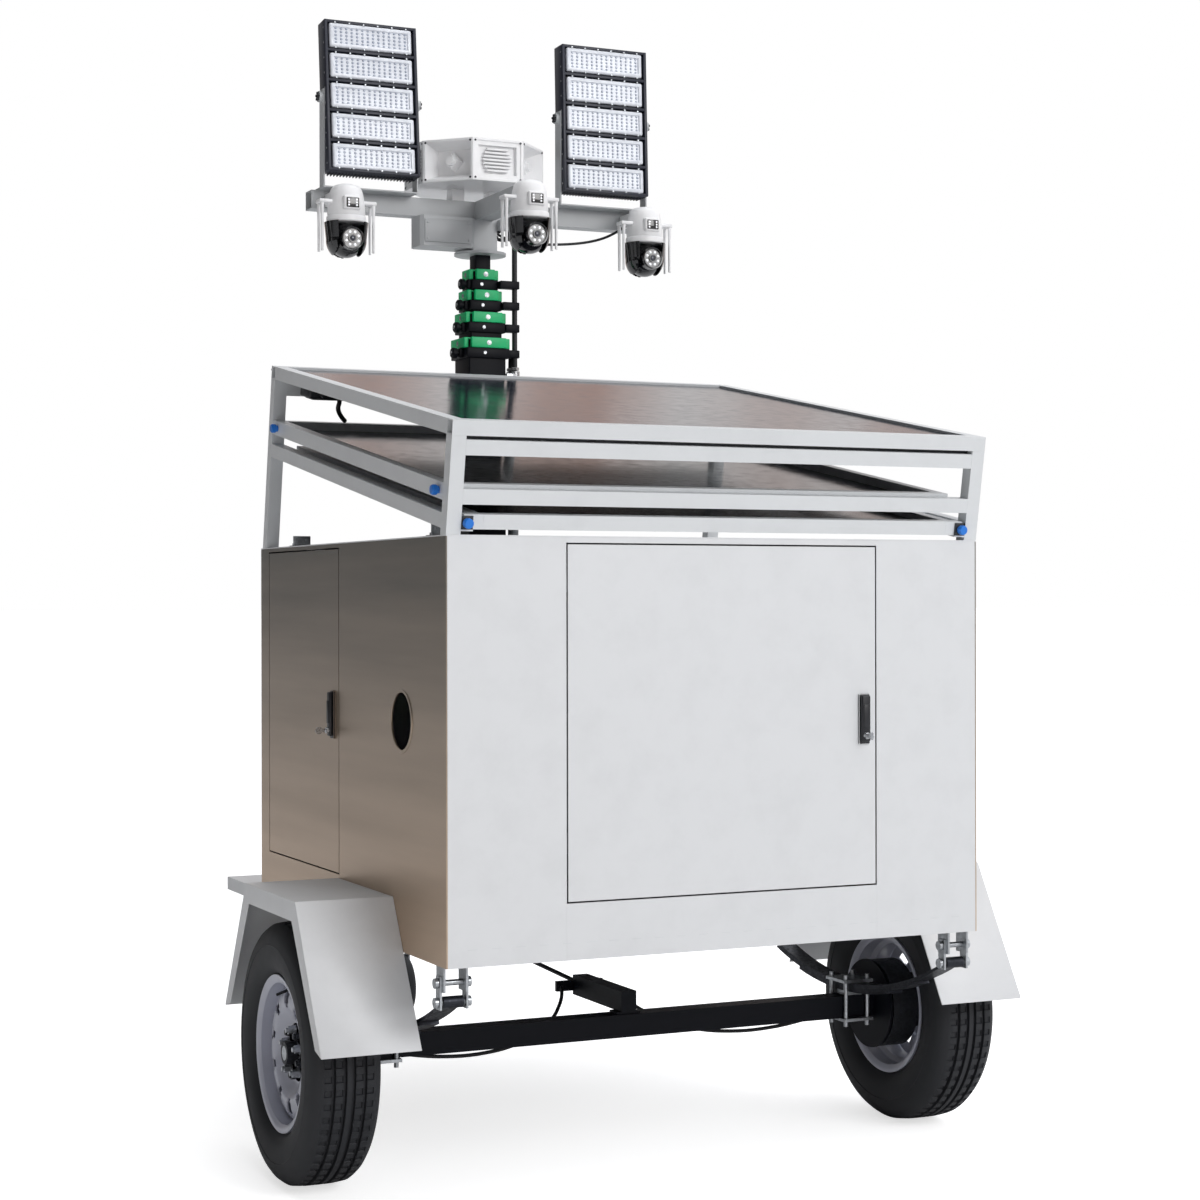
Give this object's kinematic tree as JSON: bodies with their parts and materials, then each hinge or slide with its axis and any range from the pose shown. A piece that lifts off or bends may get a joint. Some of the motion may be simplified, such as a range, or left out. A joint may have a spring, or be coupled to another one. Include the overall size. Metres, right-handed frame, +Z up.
{
  "type": "solar surveillance and light tower trailer",
  "caption": "Single-axle trailer with a steel cabinet, sliding solar panels on a tilted cage, and a telescopic mast with lamps, dome cameras and a speaker.",
  "frame": {"origin": "ground level under the middle of the overall box", "axes": "+X to the trailer's right seen from behind, +Y forwards towards the coupling, +Z up"},
  "size_m": [1.95, 3.45, 3.1522],
  "materials": {
    "chassis_paint": "black paint",
    "cabinet_paint": "light grey-white powder coat",
    "galvanised": "zinc plated",
    "mast_paint": "black anodised tube",
    "head_paint": "light grey-white paint",
    "cage": "painted light grey",
    "solar_glass": "dark solar cells behind glass",
    "lamp_housing": "dark blue-black housing, white lenses",
    "camera_white": "white casting",
    "camera_dark": "dark ball",
    "tyre": "black rubber",
    "rim": "light silver grey",
    "hub": "dull dark grey",
    "lever_black": "black",
    "knob_blue": "blue grip",
    "cable": "black sleeve",
    "battery": "black cases",
    "equipment": "grey enclosures",
    "jockey_rubber": "solid black tread",
    "lever_zinc": "zinc plated"
  },
  "bodies": {
    "chassis": {"chassis_frame": "chassis_paint", "front_deck": "cabinet_paint", "cabinet_floor": "cabinet_paint", "cabinet_roof": "cabinet_paint", "cabinet_side_panels": "cabinet_paint", "cabinet_end_panels": "cabinet_paint", "fenders": "cabinet_paint", "axle_beam": "chassis_paint", "leaf_springs": "hub", "spring_fittings": "galvanised", "brake_linkage": "galvanised", "brake_cables": "cable", "coupling_housing": "galvanised", "jockey_tube": "galvanised", "mast_base": "mast_paint", "solar_cage": "cage", "top_panel": "solar_glass", "battery_bank": "battery", "equipment_plate": "equipment"},
    "left_wheel": {"left_tyre": "tyre", "left_rim": "rim", "left_hub": "hub"},
    "right_wheel": {"right_tyre": "tyre", "right_rim": "rim", "right_hub": "hub"},
    "rear_door": {"rear_door": "cabinet_paint"},
    "rear_door_lever": {"rear_door_lever": "lever_black"},
    "left_door": {"left_door": "cabinet_paint"},
    "left_door_lever": {"left_door_lever": "lever_black"},
    "left_drawer": {"left_drawer_frame": "cage", "left_drawer_panel": "solar_glass"},
    "left_drawer_knob_rear": {"left_drawer_knob_rear": "knob_blue"},
    "left_drawer_knob_front": {"left_drawer_knob_front": "knob_blue"},
    "rear_drawer": {"rear_drawer_frame": "cage", "rear_drawer_panel": "solar_glass"},
    "rear_drawer_knob_left": {"rear_drawer_knob_left": "knob_blue"},
    "rear_drawer_knob_right": {"rear_drawer_knob_right": "knob_blue"},
    "mast_2": {"mast_section_2": "mast_paint"},
    "mast_3": {"mast_section_3": "mast_paint"},
    "mast_4": {"mast_section_4": "mast_paint"},
    "head": {"mast_section_5": "mast_paint", "mast_cable": "cable", "head_frame": "head_paint", "head_box": "head_paint", "speaker": "head_paint", "camera_mounts": "camera_white"},
    "left_lamp": {"left_lamp": "lamp_housing"},
    "right_lamp": {"right_lamp": "lamp_housing"},
    "camera_1_yoke": {"camera_1_yoke": "camera_white"},
    "camera_1_ball": {"camera_1_ball": "camera_dark"},
    "camera_2_yoke": {"camera_2_yoke": "camera_white"},
    "camera_2_ball": {"camera_2_ball": "camera_dark"},
    "camera_3_yoke": {"camera_3_yoke": "camera_white"},
    "camera_3_ball": {"camera_3_ball": "camera_dark"},
    "jockey_fork": {"jockey_fork": "galvanised"},
    "jockey_wheel": {"jockey_wheel": "jockey_rubber"},
    "jockey_crank": {"jockey_crank": "galvanised"},
    "coupling_head": {"coupling_head": "galvanised"},
    "coupling_lever": {"coupling_lever": "lever_zinc"},
    "handbrake_lever": {"handbrake_lever": "lever_zinc"}
  },
  "joints": [
    {"name": "left_wheel_spin", "type": "hinge", "parent": "chassis", "child": "left_wheel", "pos_m": [-0.875, -1.10607, 0.325], "axis": [1, 0, 0], "continuous": true},
    {"name": "right_wheel_spin", "type": "hinge", "parent": "chassis", "child": "right_wheel", "pos_m": [0.875, -1.10607, 0.325], "axis": [1, 0, 0], "continuous": true},
    {"name": "rear_door_hinge", "type": "hinge", "parent": "chassis", "child": "rear_door", "pos_m": [-0.432, -1.66607, 1.16], "axis": [0, 0, 1], "range_deg": [-90, 0]},
    {"name": "rear_door_latch", "type": "hinge", "parent": "rear_door", "child": "rear_door_lever", "pos_m": [0.39, -1.67807, 1.1975], "axis": [0, -1, 0], "range_deg": [0, 90]},
    {"name": "left_door_hinge", "type": "hinge", "parent": "chassis", "child": "left_door", "pos_m": [-0.713, -0.26607, 1.16], "axis": [0, 0, 1], "range_deg": [-90, 0]},
    {"name": "left_door_latch", "type": "hinge", "parent": "left_door", "child": "left_door_lever", "pos_m": [-0.725, -0.85607, 1.1975], "axis": [-1, 0, 0], "range_deg": [0, 90]},
    {"name": "left_drawer_slide", "type": "slide", "parent": "chassis", "child": "left_drawer", "axis": [-1, 0, 0], "range_m": [0, 1.1]},
    {"name": "rear_drawer_slide", "type": "slide", "parent": "chassis", "child": "rear_drawer", "axis": [0, -0.9842, -0.1771], "range_m": [0, 1.1]},
    {"name": "left_drawer_knob_rear_pull", "type": "slide", "parent": "left_drawer", "child": "left_drawer_knob_rear", "axis": [-1, 0, 0], "range_m": [0, 0.01], "stiffness_N_per_m": 600},
    {"name": "left_drawer_knob_front_pull", "type": "slide", "parent": "left_drawer", "child": "left_drawer_knob_front", "axis": [-1, 0, 0], "range_m": [0, 0.01], "stiffness_N_per_m": 600},
    {"name": "rear_drawer_knob_left_pull", "type": "slide", "parent": "rear_drawer", "child": "rear_drawer_knob_left", "axis": [0, -0.9842, -0.1771], "range_m": [0, 0.01], "stiffness_N_per_m": 600},
    {"name": "rear_drawer_knob_right_pull", "type": "slide", "parent": "rear_drawer", "child": "rear_drawer_knob_right", "axis": [0, -0.9842, -0.1771], "range_m": [0, 0.01], "stiffness_N_per_m": 600},
    {"name": "mast_raise", "type": "slide", "parent": "chassis", "child": "mast_2", "axis": [0, 0, 1], "range_m": [0, 1.1]},
    {"name": "mast_3_raise", "type": "slide", "parent": "mast_2", "child": "mast_3", "axis": [0, 0, 1], "range_m": [0, 1.1]},
    {"name": "mast_4_raise", "type": "slide", "parent": "mast_3", "child": "mast_4", "axis": [0, 0, 1], "range_m": [0, 1.1]},
    {"name": "mast_5_raise", "type": "slide", "parent": "mast_4", "child": "head", "axis": [0, 0, 1], "range_m": [0, 1.1], "deforming": ["mast_cable"]},
    {"name": "left_lamp_tilt", "type": "hinge", "parent": "head", "child": "left_lamp", "pos_m": [-0.38, -0.15307, 2.926], "axis": [1, 0, 0], "range_deg": [-45, 60]},
    {"name": "right_lamp_tilt", "type": "hinge", "parent": "head", "child": "right_lamp", "pos_m": [0.376, -0.15307, 2.926], "axis": [1, 0, 0], "range_deg": [-45, 60]},
    {"name": "camera_1_pan", "type": "hinge", "parent": "head", "child": "camera_1_yoke", "pos_m": [-0.48, -0.23807, 2.495], "axis": [0, 0, 1], "range_deg": [-170, 170]},
    {"name": "camera_1_tilt", "type": "hinge", "parent": "camera_1_yoke", "child": "camera_1_ball", "pos_m": [-0.48, -0.23807, 2.495], "axis": [1, 0, 0], "range_deg": [-10, 80]},
    {"name": "camera_2_pan", "type": "hinge", "parent": "head", "child": "camera_2_yoke", "pos_m": [0, -0.46807, 2.505], "axis": [0, 0, 1], "range_deg": [-170, 170]},
    {"name": "camera_2_tilt", "type": "hinge", "parent": "camera_2_yoke", "child": "camera_2_ball", "pos_m": [0, -0.46807, 2.505], "axis": [1, 0, 0], "range_deg": [-10, 80]},
    {"name": "camera_3_pan", "type": "hinge", "parent": "head", "child": "camera_3_yoke", "pos_m": [0.483, -0.23807, 2.495], "axis": [0, 0, 1], "range_deg": [-170, 170]},
    {"name": "camera_3_tilt", "type": "hinge", "parent": "camera_3_yoke", "child": "camera_3_ball", "pos_m": [0.483, -0.23807, 2.495], "axis": [1, 0, 0], "range_deg": [-10, 80]},
    {"name": "jockey_crank_turn", "type": "hinge", "parent": "chassis", "child": "jockey_crank", "pos_m": [0.112, 0.97193, 0.93], "axis": [0, 0, 1], "range_deg": [0, 7200]},
    {"name": "jockey_lift", "type": "slide", "parent": "chassis", "child": "jockey_fork", "axis": [0, 0, 1], "range_m": [0, 0.2]},
    {"name": "jockey_wheel_spin", "type": "hinge", "parent": "jockey_fork", "child": "jockey_wheel", "pos_m": [0.112, 0.97193, 0.11], "axis": [1, 0, 0], "continuous": true},
    {"name": "coupling_overrun", "type": "slide", "parent": "chassis", "child": "coupling_head", "axis": [0, -1, 0], "range_m": [0, 0.06]},
    {"name": "coupling_lever_lift", "type": "hinge", "parent": "coupling_head", "child": "coupling_lever", "pos_m": [0, 1.663, 0.5978], "axis": [-1, 0, 0], "range_deg": [0, 60]},
    {"name": "handbrake_pull", "type": "hinge", "parent": "chassis", "child": "handbrake_lever", "pos_m": [0, 1.34193, 0.6158], "axis": [-1, 0, 0], "range_deg": [0, 70]}
  ],
  "couplings": [
    {"joint": "mast_3_raise", "follows": "mast_raise", "ratio": 1},
    {"joint": "mast_4_raise", "follows": "mast_raise", "ratio": 1},
    {"joint": "mast_5_raise", "follows": "mast_raise", "ratio": 1},
    {"joint": "jockey_lift", "follows": "jockey_crank_turn", "m_per_rad": 0.0015915}
  ]
}
